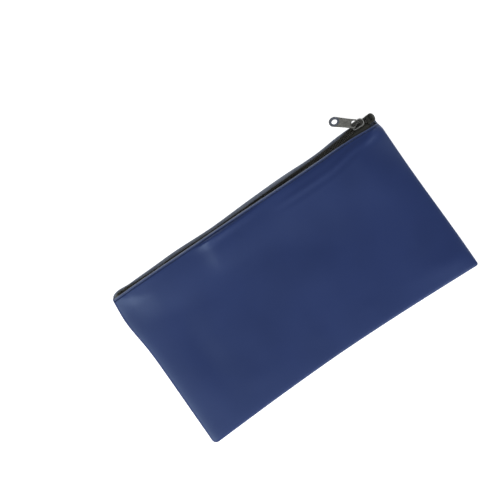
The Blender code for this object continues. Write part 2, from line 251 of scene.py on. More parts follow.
def bend(obj, side, slot, *nodes):
    """A front piece of one side: shut at the side seam, lifted with the mouth in the middle."""
    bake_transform(obj, "root", "front_side", start=(SHUT[side] * MM, 0, 0),
             end=(LIFTED[side] * MM, 0, 0))
    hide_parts(*nodes)


def vectors(items, key):
    """One vector of each item, as an (n, 3) array."""
    flat = np.empty(len(items) * 3, np.float32)
    items.foreach_get(key, flat)
    return flat.reshape(-1, 3)


def bend_halves(obj, slot, *nodes):
    """Splits a front piece at x = 0, keeping its shading unbroken, and bends each half."""
    mesh = obj.data
    normals = vectors(mesh.vertex_normals, "vector")
    co = vectors(mesh.vertices, "co")
    marks = {a.name: np.array([d.value for d in a.data], np.float32) for a in mesh.attributes
             if a.domain == "POINT" and a.data_type == "FLOAT" and not a.name.startswith(".")}
    polygons = [(tuple(p.vertices), p.material_index) for p in mesh.polygons]
    centres = [np.mean(co[list(f), 0]) for f, _ in polygons]
    for side in ("left", "right"):
        kept = [p for p, c in zip(polygons, centres) if (c < 0) == (side == "left")]
        used = sorted({i for f, _ in kept for i in f})
        index = {old: new for new, old in enumerate(used)}
        half = bpy.data.meshes.new(f"{obj.name}_{side}")
        half.from_pydata(co[used].tolist(), [], [tuple(index[i] for i in f) for f, _ in kept])
        for mat in mesh.materials:
            half.materials.append(mat)
        half.polygons.foreach_set("material_index", [m for _, m in kept])
        half.shade_smooth()
        for key, values in marks.items():
            add_mark(half, key, values[used])
        half.normals_split_custom_set_from_vertices(normals[used].tolist())
        bend(add(half.name, half), side, slot, *nodes)
    bpy.data.objects.remove(obj)


# Materials --------------------------------------------------------------------------------------

class Shader:
    """A Principled material with a few helpers for procedural nodes. Scales are per metre."""

    def __init__(self, name, roughness, metallic=0.0, **sockets):
        self.mat = bpy.data.materials.new(name)
        self.mat.use_nodes = True
        self.nodes, self.links = self.mat.node_tree.nodes, self.mat.node_tree.links
        self.bsdf = self.nodes["Principled BSDF"]
        self.bsdf.inputs["Roughness"].default_value = roughness
        self.bsdf.inputs["Metallic"].default_value = metallic
        for key, value in sockets.items():
            self.bsdf.inputs[key.replace("_", " ")].default_value = value
        self.where = self.nodes.new("ShaderNodeTexCoord").outputs["Object"]

    def texture(self, kind, scale, stretch=(1, 1, 1), turn=0.0, **settings):
        node = self.nodes.new(f"ShaderNodeTex{kind}")
        mapping = self.nodes.new("ShaderNodeMapping")
        mapping.inputs["Scale"].default_value = stretch
        mapping.inputs["Rotation"].default_value = (0, 0, math.radians(turn))
        self.links.new(self.where, mapping.inputs["Vector"])
        self.links.new(mapping.outputs["Vector"], node.inputs["Vector"])
        node.inputs["Scale"].default_value = scale
        for key, value in settings.items():
            if key in node.inputs:
                node.inputs[key].default_value = value
            else:
                setattr(node, key, value)
        return node.outputs["Distance" if kind == "Voronoi" else "Fac"]

    def mark(self, name):
        """The number that add_mark stored at the points."""
        node = self.nodes.new("ShaderNodeAttribute")
        node.attribute_name = name
        return node.outputs["Fac"]

    def ramp(self, value, low, high, start=0.3, end=0.7):
        """A colour from low to high while the value goes from start to end."""
        node = self.nodes.new("ShaderNodeValToRGB")
        node.color_ramp.elements[0].position = start
        node.color_ramp.elements[1].position = end
        node.color_ramp.elements[0].color = (*low, 1)
        node.color_ramp.elements[1].color = (*high, 1)
        self.links.new(value, node.inputs["Fac"])
        return node.outputs["Color"]

    def spread(self, value, low, high):
        """A number from low to high while the value goes from 0 to 1."""
        node = self.nodes.new("ShaderNodeMapRange")
        node.inputs["To Min"].default_value = low
        node.inputs["To Max"].default_value = high
        self.links.new(value, node.inputs["Value"])
        return node.outputs["Result"]

    def times(self, a, b):
        node = self.nodes.new("ShaderNodeMath")
        node.operation = "MULTIPLY"
        self.links.new(a, node.inputs[0])
        self.links.new(b, node.inputs[1])
        return node.outputs[0]

    def mix(self, factor, a, b):
        """From a to b, where each is a colour or the output of a node."""
        node = self.nodes.new("ShaderNodeMix")
        node.data_type = "RGBA"
        self.links.new(factor, node.inputs["Factor"])
        for socket, value in ((node.inputs[6], a), (node.inputs[7], b)):
            if hasattr(value, "links"):
                self.links.new(value, socket)
            else:
                socket.default_value = (*value, 1)
        return node.outputs[2]

    def set(self, socket, value):
        self.links.new(value, self.bsdf.inputs[socket])

    def relief(self, *layers):
        """Bump from (height, distance in mm, strength) layers."""
        normal = None
        for height, distance, strength in layers:
            node = self.nodes.new("ShaderNodeBump")
            node.inputs["Distance"].default_value = distance * MM
            node.inputs["Strength"].default_value = strength
            self.links.new(height, node.inputs["Height"])
            if normal:
                self.links.new(normal, node.inputs["Normal"])
            normal = node.outputs["Normal"]
        self.set("Normal", normal)


def vinyl():
    s = Shader("navy_vinyl_look", 0.42, Specular_IOR_Level=0.58, Specular_Tint=(0.62, 0.80, 1.0, 1))
    cloud = s.texture("Noise", 16, Detail=2.0)
    fleck = s.texture("Noise", 900, Detail=3.0)
    base = s.ramp(cloud, (0.0180, 0.0340, 0.132), (0.0222, 0.0405, 0.152), 0.35, 0.65)
    base = s.mix(s.spread(fleck, 0.0, 0.16), base, (0.030, 0.050, 0.170))
    # painted shade in the groove that the hem stitches pull
    base = s.mix(s.mark("groove_shade"), base, (0.004, 0.007, 0.022))
    # the hems' folds get a painted highlight, broken up by noise
    patchiness = s.texture("Noise", 120, (1, 3, 1), Detail=2.0)
    base = s.mix(s.times(s.mark("painted_highlight"), s.spread(patchiness, 0.55, 1.25)), base, (0.27, 0.30, 0.36))
    s.set("Base Color", base)
    s.set("Roughness", s.spread(fleck, 0.36, 0.50))
    cells = s.texture("Voronoi", 950, feature="DISTANCE_TO_EDGE")
    s.relief((cells, 0.05, 0.45), (fleck, 0.04, 0.5))
    return s.mat


def backing():
    s = Shader("vinyl_backing_look", 0.9)
    knit = s.texture("Wave", 420, bands_direction="X", Distortion=1.5, Detail=1.0)
    rows = s.texture("Wave", 420, bands_direction="Y", Distortion=1.5, Detail=1.0)
    s.set("Base Color", s.ramp(knit, (0.055, 0.065, 0.11), (0.10, 0.115, 0.17)))
    s.relief((knit, 0.10, 0.7), (rows, 0.10, 0.7))
    return s.mat


def woven():
    s = Shader("black_tape_look", 0.85)
    warp = s.texture("Wave", 520, bands_direction="Y", Distortion=0.6)
    weft = s.texture("Wave", 520, bands_direction="X", Distortion=0.6)
    base = s.ramp(warp, (0.016, 0.017, 0.0135), (0.036, 0.037, 0.030))
    # a painted highlight on the raised upper edges of the end tabs
    s.set("Base Color", s.mix(s.mark("painted_highlight"), base, (0.13, 0.135, 0.125)))
    s.set("Roughness", s.spread(weft, 0.75, 0.92))
    s.relief((warp, 0.08, 0.8), (weft, 0.06, 0.8))
    return s.mat


def nylon():
    s = Shader("black_nylon_look", 0.38)
    fine = s.texture("Noise", 700, Detail=2.0)
    s.set("Base Color", s.ramp(fine, (0.028, 0.028, 0.022), (0.050, 0.048, 0.038)))
    s.set("Roughness", s.spread(fine, 0.30, 0.48))
    s.relief((fine, 0.02, 0.4))
    return s.mat


def thread(name, low, high):
    s = Shader(name, 0.7)
    twist = s.texture("Wave", 900, turn=40, bands_direction="X", Distortion=0.5)
    s.set("Base Color", s.ramp(twist, low, high))
    s.relief((twist, 0.05, 0.8))
    return s.mat


def metal(name, low, high, roughness, metallic=1.0):
    """Mottled metal, with a range of colours and of roughness."""
    s = Shader(name, sum(roughness) / 2, metallic)
    patchiness = s.texture("Noise", 260, Detail=4.0)
    fine = s.texture("Noise", 1500, Detail=2.0)
    s.set("Base Color", s.ramp(patchiness, low, high, 0.35, 0.7))
    s.set("Roughness", s.spread(patchiness, *roughness))
    s.relief((fine, 0.015, 0.35))
    return s.mat


NAVY = vinyl()
BACKING = backing()
WOVEN = woven()
NYLON = nylon()
NAVY_THREAD = thread("navy_thread_look", (0.008, 0.014, 0.045), (0.020, 0.032, 0.085))
BLACK_THREAD = thread("black_thread_look", (0.008, 0.008, 0.008), (0.028, 0.027, 0.025))
GUNMETAL = metal("gunmetal_look", (0.05, 0.05, 0.046), (0.10, 0.10, 0.092), (0.34, 0.48), 0.8)
# a lighter, less metallic metal for rounded edges: a painted highlight
EDGE_HIGHLIGHT = metal("edge_highlight_look", (0.30, 0.31, 0.30), (0.46, 0.46, 0.44), (0.40, 0.55), 0.35)
TAB_METAL = metal("pull_tab_look", (0.205, 0.203, 0.185), (0.28, 0.278, 0.255), (0.36, 0.5), 0.55)
# the ring and the tab's rounded edges get a darker, bluish copy of the tab metal: a painted reflection of
# the navy vinyl
BLUE_REFLECTION_METAL = metal("pull_blue_reflection_look", (0.135, 0.155, 0.20), (0.19, 0.215, 0.275), (0.36, 0.5), 0.55)
# slabs given METALS get the painted edge highlight on their rounded edges
METALS = [GUNMETAL, EDGE_HIGHLIGHT]
TAB_METALS = [TAB_METAL, BLUE_REFLECTION_METAL]
STEEL = metal("spring_steel_look", (0.60, 0.60, 0.59), (0.78, 0.78, 0.76), (0.25, 0.4))


# Panels -----------------------------------------------------------------------------------------

def fitted(points, front=1):
    """Moves points of the plain rectangle to the bag's outline, with rounded corners.

    Front is 1 for points that follow the front hem, and 0 for the back panel's.
    """
    p = np.array(points, float)
    x, y = p[..., 0].copy(), p[..., 1].copy()
    for sx, radius in ((-1, 4.5), (1, 2.2)):
        # a square corner's points, drawn in onto a round one
        a = 1 - (HALF - sx * x) / radius
        b = 1 - (y - BOTTOM) / radius
        corner = (a > 0) & (b > 0)
        a, b = np.clip(a, 0, 1), np.clip(b, 0, 1)
        nx = HALF - radius * (1 - a * np.sqrt(1 - b**2 / 2))
        ny = BOTTOM + radius * (1 - b * np.sqrt(1 - a**2 / 2))
        x, y = np.where(corner, sx * nx, x), np.where(corner, ny, y)
    y = y + eased(x, STATIONS, FRONT_OUT) * smooth((y - HEM + 26) / 26) * front
    # half widths on the left and right, which change a little from the hem down
    down = HEM - y
    left = 139.2 + 1.6 * (1 - down / HEIGHT) + 3.0 * np.exp(-(((down - 22) / 24) ** 2))
    right = 136.3 + 1.6 * smooth(down / 9) + 2.2 * smooth((down - 35) / 110)
    bow = BOW * np.cos(math.pi / 2 * np.clip(x / HALF, -1, 1)) - 0.5 - 0.6 * np.abs(x / HALF)
    bow = bow * smooth(down / HEIGHT)
    p[..., 0] = x * np.where(x < 0, left, right) / HALF
    p[..., 1] = y + bow
    return p


def edge_round(distance):
    """A quarter circle of radius EDGE_R, from 0 at an edge to 1."""
    return np.sqrt(np.clip(1 - np.clip(1 - distance / EDGE_R, 0, 1) ** 2, 0, 1))


def wander(x, y, scale, seed):
    """Smooth noise over the plane, with waves about scale mm long."""
    flat = [noise.noise(Vector((a / scale, b / scale, seed))) for a, b in
            zip(np.ravel(x), np.ravel(y))]
    return np.reshape(flat, np.shape(x))


def creases(x, y):
    """Creases and slack of the empty front panel, in mm."""
    down = HEM - y
    z = 0.40 * wander(x, y, 62, 3.1) + 0.16 * wander(x, y, 27, 7.7)
    # a short soft step up across the stitching, which sinks back slowly to its right
    t = x + 48 + 0.14 * np.maximum(down - 12, 0)
    reach = smooth((down - 0.5) / 4) * (1 - 0.55 * smooth((down - 3) / 8)) \
        * (1 - smooth((down - 16) / 22))
    z += 3.8 * reach * (0.5 + 0.5 * np.tanh(t / np.where(t < 0, 7.0, 5.6))
                        - smooth((t + 4) / 80))
    # the panel rolls over towards the slider and ripples behind it
    line = 15.5 - 5.5 * smooth((x - 75) / 45)
    reach = smooth((x - 5) / 75)
    z += 1.0 * reach * smooth((down - 0.5) / 10) * (1 - smooth((down - 18) / 60))
    wave = np.sin((down - line) / 9.0 * 2 * math.pi)
    reach = smooth((x - 12) / 40) * (1 - smooth((x - 104) / 30))
    z -= 0.30 * reach * wave * np.exp(-(((down - line + 2) / 7.5) ** 2))
    # slack gathered above the bottom seam
    for cx, cy, rx, ry, size in ((-9, 132, 8, 6, 0.25), (38, 133, 9, 6, 0.28),
                                 (-74, 130, 18, 9, 0.4), (84, 136, 12, 6, 0.2),
                                 (-108, 22, 20, 14, 0.35), (4, 62, 40, 34, 0.6),
                                 (-101, 84, 14, 26, -0.7), (96, 74, 40, 30, -0.3),
                                 (128, 142, 22, 8, 1.0)):
        z += size * bump(x, down, cx, cy, rx, ry)
    return z


def seam_height(y):
    """Where the two panels meet at the sides, a little higher at the mouth."""
    return 1.5 + 0.9 * smooth((y - HEM + 22) / 22)


def front_surface(x, y):
    """Height of the middle of the front vinyl."""
    down = HEM - y
    seam = seam_height(y)
    ridge = seam + EDGE_R
    flat = 4.6
    # the mouth stands up, and its height fades over a reach that grows to the right
    reach = 36 + 14 * smooth((x + 130) / 60) + 34 * smooth((x + 10) / 80)
    mouth = smooth(1 - (down - 1) / reach) ** 1.2
    belly = flat + (eased(x, STATIONS, FRONT_UP) - flat) * mouth
    # the panel climbs from the seams to its full height
    side = 36 - 26.5 * smooth((17 - down) / 15)
    edge_x, edge_y = HALF - np.abs(x), y - BOTTOM
    full = rise(edge_x / side) * rise(edge_y / 42)
    top = ridge + (belly - ridge) * full + creases(x, y) * full * smooth(down / 5)
    # it dips beside the seams
    for edge in (edge_x, edge_y):
        top += 1.0 * (np.exp(-10 / 3.8) - np.exp(-edge / 3.8)) * smooth((down + 4) / 22)
    # the hem curls up on the left and down at the slider, and the bottom right corner is full
    top += 0.9 * np.exp(-down / 6) * (1 - smooth((x - 10) / 50)) * smooth((x + 128) / 30)
    top += 1.3 * bump(x, down, 122, 137, 28, 10)
    top -= 1.0 * np.exp(-down / 8) * smooth((x - 84) / 22)
    # the stitches pull a groove
    top -= 0.32 * np.exp(-(((down - STITCH_IN) / 0.36) ** 2))
    return seam + (top - seam) * edge_round(edge_x) * edge_round(edge_y)


def edge_steps(count=7):
    """Distances from an edge, even round its curve."""
    return EDGE_R * (1 - np.cos(np.linspace(0, math.pi / 2, count)))


def columns():
    """The panels' points along X, close together at the two seams."""
    rim = edge_steps()
    inner = np.linspace(EDGE_R, HALF, 86)[1:]
    half = np.concatenate([rim, inner])
    return np.concatenate([half - HALF, (HALF - half)[:-1][::-1]])


def folded(surface, hem, x, run, up=1):
    """Rows along a panel, whose last ones turn over at the hem and run back inside.

    Surface gives z at (x, y), run is the rows' places in Y, and up is 1 where the panel's outer
    side faces up and -1 where it faces down.
    """
    rows = []
    for y in run:
        y = np.broadcast_to(y, x.shape)
        rows.append(np.stack([x, y, surface(x, y)], -1))
    turns, under = 8, 4
    step = 0.05
    for i in range(turns + under + 1):
        past = max(0, i - turns) * HEM_DEPTH / under
        angle = math.pi * min(i, turns) / turns
        y = np.broadcast_to(hem - FOLD, x.shape) - past
        point = np.stack([x, y, surface(x, y)], -1)
        slope_x = (surface(x + step, y) - surface(x - step, y)) / (2 * step)
        slope_y = (surface(x, y) - surface(x, y - step)) / step
        normal = np.stack([-slope_x, -slope_y, np.ones_like(x)], -1) * up
        normal /= np.linalg.norm(normal, axis=-1)[:, None]
        tangent = np.stack([np.zeros_like(x), np.ones_like(x), slope_y], -1)
        tangent /= np.linalg.norm(tangent, axis=-1)[:, None]
        rows.append(point + FOLD * ((math.cos(angle) - 1) * normal + math.sin(angle) * tangent))
    return np.array(rows)


def front_panel():
    x = columns()
    rim = BOTTOM + edge_steps()
    near_hem = HEM - np.array([4.2, 3.6, 3.1, 2.8, 2.6, 2.4, 2.2, 2.0, 1.8, 1.6, 1.4, 1.1, 0.75])
    run = np.concatenate([rim, np.linspace(BOTTOM + EDGE_R, HEM - 5.0, 92)[1:], near_hem])
    points = folded(front_surface, HEM, x, run)
    painted_highlight = np.zeros(points.shape[:2])
    first = len(run)
    # a painted highlight along the fold of the hem, weaker towards the slider
    painted_highlight[first - 1] = 0.3
    painted_highlight[first:first + 5] = np.array([0.65, 0.75, 0.75, 0.65, 0.4])[:, None]
    painted_highlight *= 0.9 - 0.4 * smooth((x - 85) / 25)
    # painted shade along the stitch groove
    groove_shade = np.zeros(points.shape[:2])
    groove_shade[:first] = np.exp(-(((HEM - run - STITCH_IN) / 0.42) ** 2))[:, None]
    obj = sheet("front_vinyl", fitted(points), VINYL, [NAVY, BACKING], 1,
                {"painted_highlight": painted_highlight, "groove_shade": groove_shade})
    bend_halves(obj, "navy_vinyl", "front_panel")


def back_surface(x, y):
    """Height of the middle of the back vinyl, which lies on the counter between its seams."""
    edge_x, edge_y = HALF - np.abs(x), y - BOTTOM
    seam = seam_height(y) + 0.08
    flat = VINYL / 2 + 0.02
    return seam - (seam - flat) * edge_round(edge_x) * edge_round(edge_y)


def back_panel():
    x = columns()
    hem = HEM + eased(x, STATIONS, BACK_OUT)
    rim = BOTTOM + edge_steps()
    run = list(np.concatenate([rim, np.linspace(BOTTOM + EDGE_R, HEM - 8.0, 40)[1:]]))
    # the last rows stretch from a straight row to the uneven hem
    for share in np.linspace(0, 1, 8)[1:-1]:
        run.append(HEM - 8 + share * (hem - FOLD - HEM + 8))
    points = folded(back_surface, hem, x, run, up=-1)
    painted_highlight = np.zeros(points.shape[:2])
    first = len(run)
    # a painted highlight along the back hem's fold
    painted_highlight[first + 1:first + 12] = 1.0
    obj = sheet("back_vinyl", fitted(points, 0), VINYL, [NAVY, BACKING], 1, {"painted_highlight": painted_highlight}, -1)
    fix(obj, "navy_vinyl", "back_panel")


front_panel()
back_panel()


def hem_stitching():
    """A row of stitches on the front hem, and one inside the back hem."""
    first, end, pitch = -127.2, 127.5, 3.35
    back_inset, back_z = 7.0, 2.1
    xs = np.arange(first, end, pitch)
    points, along = [], []
    for x in xs:
        z = front_surface(np.array([x]), np.array([HEM - STITCH_IN]))[0] + VINYL / 2 + 0.06
        points.append(fitted(np.array([x, HEM - STITCH_IN, z])))
        along.append(np.array([1.0, 0, 0]))
    for side in ("left", "right"):
        pick = [i for i, x in enumerate(xs) if (x < 0) == (side == "left")]
        verts, faces = stitches([points[i] for i in pick], [along[i] for i in pick])
        obj = make(f"hem_stitches_front_{side}", verts, faces, [NAVY_THREAD])
        bend(obj, side, "thread", "hem_thread_front")
    inner = [np.array([x, HEM + eased(x, STATIONS, BACK_OUT) - back_inset, back_z]) for x in xs]
    verts, faces = stitches(inner, along)
    fix(make("hem_stitches_back", verts, faces, [NAVY_THREAD]), "thread", "hem_thread_back")


def seam_threads():
    """Rows of lockstitch inside the turned seams."""
    z, inset, pitch = 1.45, 6.0, 3.3
    length, radius, count = 2.6, 0.2, 5
    for side, name in ((-1, "left"), (1, "right")):
        points = [fitted(np.array([side * (HALF - inset), y, z])) for y in
                  np.arange(BOTTOM + 8, HEM - 14, pitch)]
        verts, faces = stitches(points, [np.array([0, 1.0, 0])] * len(points), length, radius, count)
        fix(make(f"side_stitches_{name}", verts, faces, [NAVY_THREAD]), "thread",
            f"side_thread_{name}")
    points = [fitted(np.array([x, BOTTOM + inset, z])) for x in np.arange(7 - HALF, HALF - 7, pitch)]
    verts, faces = stitches(points, [np.array([1.0, 0, 0])] * len(points), length, radius, count)
    fix(make("bottom_stitches", verts, faces, [NAVY_THREAD]), "thread", "bottom_thread")


hem_stitching()
seam_threads()


# Zipper -----------------------------------------------------------------------------------------

TAPE_END, COIL_END = 130.0, 127.8  # how far they reach to each side
TAPE_W = -1.15  # height of the tapes in the chain's cross-section
STAPLE = (-123.9, -121.2)  # the bottom stop's two ends in X
COIL_PITCH = 1.5
WIRE = 0.33  # radius of the coils' monofilament
CORE_U, CORE_W, CORE_R = 1.75, 0.26, 0.42  # place and radius of the core cords
CORE_SIDES = 8


def rounded(points, steps=4):
    """Rows on Catmull-Rom curves through (k, n, 3) control rows."""
    padded = np.concatenate([points[:1], points, points[-1:]])
    t = (np.arange(1, steps + 1) / steps)[:, None, None]
    rows = [points[:1]]
    for i in range(len(points) - 1):
        a, b, c, d = padded[i:i + 4]
        rows.append(0.5 * (2 * b + (c - a) * t + (2 * a - 5 * b + 4 * c - d) * t**2
                           + (3 * b - a - 3 * c + d) * t**3))
    return np.concatenate(rows)


def tapes():
    """Each tape runs from under its hem up to its coil."""
    x = np.concatenate([np.linspace(-TAPE_END, 0, 66), np.linspace(0, TAPE_END, 66)[1:]])
    lip = chain_point(x, -4.2, TAPE_W)
    rows = []
    for away in (9.5, 7.0, 4.8, 3.0):
        y = np.minimum(lip[:, 1], HEM - 1.2) - away + 1.0
        z = front_surface(x, y) - 2 * FOLD - VINYL / 2 - 0.12 - TAPE / 2
        rows.append(np.stack([x, y, z], -1))
    rows += [lip, chain_point(x, -2.8, TAPE_W), chain_point(x, -0.9, TAPE_W)]
    obj = sheet("tape_front", rounded(np.array(rows)), TAPE, [WOVEN])
    bend_halves(obj, "tape", "zipper_tape_front")

    hem = HEM + eased(x, STATIONS, BACK_OUT)
    top = VINYL + 2 * FOLD + 0.14 + TAPE / 2
    edge = chain_point(x, 4.0, TAPE_W)
    knee = edge[:, 1] - 1.3
    rows = [np.stack([x, y, np.full_like(x, top)], -1)
            for y in (np.minimum(hem - 9.5, knee - 3.0), (hem - 9.5 + knee) / 2 - 0.5, knee - 1.0)]
    rows.append(np.stack([x, knee + 0.3, np.minimum(top + 0.05, edge[:, 2])], -1))
    rows += [chain_point(x, 3.4, TAPE_W), chain_point(x, 2.4, TAPE_W),
             chain_point(x, 0.9, TAPE_W)]
    fix(sheet("tape_back", rounded(np.array(rows)), TAPE, [WOVEN]), "tape", "zipper_tape_back")


def coil_path(side, start, end):
    """The bent monofilament of one coil, whose heads mesh with the other's half a turn on."""
    first = 0.0 if side < 0 else 0.5
    points_per_turn = 10
    turns = np.arange(start / COIL_PITCH, end / COIL_PITCH, 1 / points_per_turn)
    angle = 2 * math.pi * (turns + first)
    u = side * (1.62 - 1.42 * np.cos(angle))
    w = 0.28 + 0.80 * np.sin(angle)
    lean = 0.10 * np.sin(angle)
    return chain_point(turns * COIL_PITCH + lean, u, w)


def core_path(side, start, end, count):
    return chain_point(np.linspace(start, end, count), side * CORE_U, CORE_W)


def chain():
    """The coils with their core cords and sewing. Each half of the front ones bends by itself."""
    runs = {"left": (-COIL_END, -0.2), "right": (0.2, COIL_END)}
    for side, (start, end) in runs.items():
        verts, faces = tube(coil_path(-1, start, end), WIRE)
        bend(make(f"helix_front_{side}", verts, faces, [NYLON]), side, "coil", "coil_front")
        verts, faces = tube(core_path(-1, start, end, 60), CORE_R, CORE_SIDES)
        bend(make(f"cord_front_{side}", verts, faces, [WOVEN]), side, "tape", "core_cord_front")
        verts, faces = sewing(-1, start, end)
        bend(make(f"coil_stitches_front_{side}", verts, faces, [BLACK_THREAD]), side, "thread",
             "coil_thread_front")
    verts, faces = tube(coil_path(1, -COIL_END, COIL_END), WIRE)
    fix(make("helix_back", verts, faces, [NYLON]), "coil", "coil_back")
    verts, faces = tube(core_path(1, -COIL_END, COIL_END, 120), CORE_R, CORE_SIDES)
    fix(make("cord_back", verts, faces, [WOVEN]), "tape", "core_cord_back")
    verts, faces = sewing(1, -COIL_END, COIL_END)
    fix(make("coil_stitches_back", verts, faces, [BLACK_THREAD]), "thread", "coil_thread_back")


def sewing(side, start, end):
    """The chain stitch that lies over the coil's roots, dipping between its turns."""
    x = np.arange(start + 0.6, end - 0.6, COIL_PITCH / 6)
    phase = 2 * math.pi * (x / COIL_PITCH)
    dip = 0.10 * np.cos(phase)
    path = chain_point(x, side * (2.35 + 0.16 * np.sin(phase / 2)), 1.28 + dip)
    return tube(path, 0.20)


tapes()
chain()


def outline_piece(name, outline, start, end, mat, soften=0.12):
    """A clip: an outline of the chain's cross-section, swept along it from start to end."""
    n = len(outline)
    u, w = np.array(outline, float).T
    rows = [chain_point(np.full(n, x), u, w) for x in np.linspace(start, end, 3)]
    verts = np.concatenate(rows)
    obj = make(name, verts, capped(len(rows), n), [mat])
    mod = obj.modifiers.new("Bevel", "BEVEL")
    mod.width = soften * MM
    mod.segments = 3
    bake(obj)
    obj.data.set_sharp_from_angle(angle=math.radians(40))
    return obj


def stops():
    """A clip on each coil at the closed end, and one staple across both at the other."""
    clip = [(0.35, -1.7), (2.7, -1.7), (2.9, -1.5), (2.9, 1.2), (2.4, 1.55), (0.9, 1.55),
            (0.35, 1.1)]
    for side, name in ((-1, "front"), (1, "back")):
        outline = [(side * u, w) for u, w in clip]
        if side < 0:
            outline.reverse()
        obj = outline_piece(f"stop_top_{name}", outline, COIL_END + 0.15, TAPE_END - 0.5, GUNMETAL)
        if side < 0:
            bend(obj, "right", "gunmetal", "top_stop_front")
        else:
            fix(obj, "gunmetal", "top_stop_back")
    staple = [(-3.3, -1.9), (3.3, -1.9), (3.6, -1.4), (3.6, 1.2), (3.2, 1.7), (2.4, 1.85),
              (-2.4, 1.85), (-3.2, 1.7), (-3.6, 1.2), (-3.6, -1.4)]
    fix(outline_piece("stop_bottom", staple, *STAPLE, GUNMETAL), "gunmetal", "bottom_stop")


def end_tabs():
    """Fabric folded over each end of the chain, with a bar tack across it."""
    for name, start, end, wide, shift in (("left", -138.6, -125.4, 2.5, 0.0),
                                          ("right", 129.6, 137.8, 4.4, -0.75)):
        side = -1 if name == "left" else 1
        t = np.concatenate([np.linspace(0, 0.6, 14), np.linspace(0.6, 1, 14)[1:]])
        t = t if side > 0 else 1 - t[::-1]
        angle = np.linspace(0, 2 * math.pi, 40, endpoint=False)
        rows, painted_highlight = [], []
        for share in t:
            outer = share if side > 0 else 1 - share  # 0 at the chain, 1 at the free end
            x = start + (end - start) * share
            end_round = np.sqrt(np.clip(1 - np.clip((outer - 0.62) / 0.38, 0, 1) ** 2, 0, 1))
            size = max(end_round * (0.94 + 0.06 * smooth(outer / 0.2)), 0.06)
            u = np.sign(np.cos(angle)) * np.abs(np.cos(angle)) ** 0.75
            w = np.sign(np.sin(angle)) * np.abs(np.sin(angle)) ** 0.8
            border = max(smooth((outer - 0.72) / 0.16), 0)
            # a raised edge runs round the fold, with a painted highlight on its upper side
            ridge = np.maximum(smooth((u - 0.62) / 0.22), border)
            painted_highlight.append(ridge * (w > -0.2))
            w = 1.6 * w * size**0.6 * (0.72 + 0.28 * ridge)
            w = w - 0.12 * np.exp(-(((outer - 0.45) / 0.07) ** 2)) * np.sign(w)
            rows.append(chain_point(np.full_like(u, x), wide * size * u + shift, w - 0.1))
        verts = np.concatenate(rows)
        pod = make(f"pod_{name}", verts, capped(len(t), len(angle)), [WOVEN])
        add_mark(pod.data, "painted_highlight", painted_highlight)
        fix(pod, "tape", f"end_tab_{name}")
        middle = start + (end - start) * (0.45 if side > 0 else 0.55)
        corners = 27
        zigzag = np.linspace(-1, 1, corners)
        x = middle + 0.55 * np.where(np.arange(corners) % 2, 1, -1)
        path = chain_point(x, 0.7 * wide * zigzag + shift, 1.2 + 0.06 * zigzag**2)
        verts, faces = tube(path, 0.17)
        fix(make(f"tack_{name}", verts, faces, [BLACK_THREAD]), "thread", f"bar_tack_{name}")


stops()
end_tabs()


# Slider and pull --------------------------------------------------------------------------------

tilt = math.radians(-TILT)
SLIDER = Matrix.Translation(Vector((SLIDER_X, CHAIN_Y, CHAIN_Z)) * MM) @ Matrix.Rotation(tilt, 4, "X")


def place(obj, matrix, body, slot, *nodes):
    """Moves a piece from its own axes to the body it rides on."""
    obj.data.transform(matrix)
    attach(obj, body)
    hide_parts(*nodes)


def slab(name, outlines, low, high, mats, round_edge, segments=3):
    """A flat outline with holes, from low to high in Z. The last material is its rounded edges'."""
    curve = bpy.data.curves.new(name, "CURVE")
    curve.dimensions = "2D"
    curve.fill_mode = "BOTH"
    curve.extrude = (high - low) / 2 * MM
    for outline in outlines:
        spline = curve.splines.new("POLY")
        spline.points.add(len(outline) - 1)
        spline.use_cyclic_u = True
        for point, (x, y) in zip(spline.points, outline):
            point.co = (x * MM, y * MM, 0, 1)
    flat = add(name, curve)
    mesh = evaluated_mesh(flat)
    bpy.data.objects.remove(flat)
    mesh.transform(Matrix.Translation((0, 0, (high + low) / 2 * MM)))
    mesh.materials.clear()
    for mat in mats:
        mesh.materials.append(mat)
    solid = add(name, mesh)
    weld = solid.modifiers.new("Weld", "WELD")
    weld.merge_threshold = 0.00001
    mod = solid.modifiers.new("Bevel", "BEVEL")
    mod.width = round_edge * MM
    mod.segments = segments
    mod.limit_method = "ANGLE"
    mod.angle_limit = math.radians(40)
    mod.material = len(mats) - 1
    bake(solid)
    solid.data.shade_smooth()
    solid.data.set_sharp_from_angle(angle=math.radians(50))
    return solid


def joined(name, objects):
    """Unites solids with exact Booleans."""
    first = objects[0]
    for other in objects[1:]:
        mod = first.modifiers.new("Union", "BOOLEAN")
        mod.operation = "UNION"
        mod.material_mode = "TRANSFER"
        mod.object = other
    bake(first)
    for other in objects[1:]:
        bpy.data.objects.remove(other)
    first.name = first.data.name = name
    first.data.shade_smooth()
    first.data.set_sharp_from_angle(angle=math.radians(40))
    return first


def arc(cx, cy, radius, start, end, count, power=1.0):
    """Points round a circle, between two angles in degrees. A power under 1 squares it off."""
    angles = np.radians(np.linspace(start, end, count))
    c, s = np.cos(angles), np.sin(angles)
    return [(cx + radius * math.copysign(abs(a) ** power, a),
             cy + radius * math.copysign(abs(b) ** power, b)) for a, b in zip(c, s)]


def slider_plan(grow=0.0):
    """The slider from above, a little narrower at its -X tail, with round shoulders."""
    half, shoulder, tail = 6.0 + grow, 4.3 + grow, 4.0 + grow
    top = [(-half, tail - 1.6), (-half + 0.5, tail - 0.6), (-half + 1.6, tail),
           (0.5, tail + 0.1)]
    top += [(half - 3.6 + 3.6 * math.sin(a), shoulder - 3.3 * (1 - math.cos(a)))
            for a in np.radians(np.linspace(0, 90, 12))]
    return top + [(x, -y) for x, y in reversed(top)]


def stand(obj, x):
    """Turns a slab upright and moves it along X."""
    obj.data.transform(Matrix.Rotation(math.pi / 2, 4, "X"))
    obj.data.transform(Matrix.Translation((x * MM, 0, 0)))


